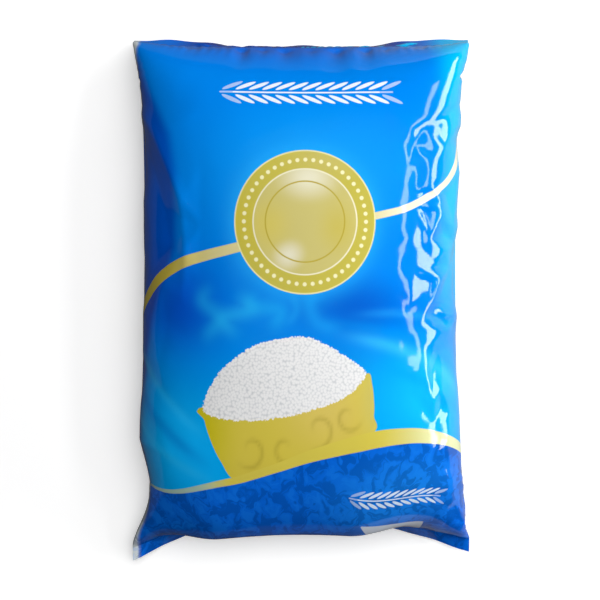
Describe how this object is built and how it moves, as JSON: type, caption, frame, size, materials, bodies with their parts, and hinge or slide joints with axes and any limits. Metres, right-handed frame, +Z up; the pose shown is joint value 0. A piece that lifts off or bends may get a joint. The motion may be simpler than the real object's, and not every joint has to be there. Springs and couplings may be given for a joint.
{
  "type": "rice sack",
  "caption": "Full shut pillow bag of rice in printed glossy film, crimped flat seals at both ends with corners standing out as ears, lying on its back.",
  "frame": {"origin": "middle of the bag's bounding box on plan, at the floor it lies on", "axes": "+Y along the bag towards its top seal, +Z up out of its printed front, +X to the right as the front is read"},
  "size_m": [0.267, 0.414, 0.092],
  "materials": {
    "printed_film": "glossy blue printed film, with gold bands"
  },
  "bodies": {
    "root": {"rice_sack": "printed_film"}
  },
  "joints": []
}
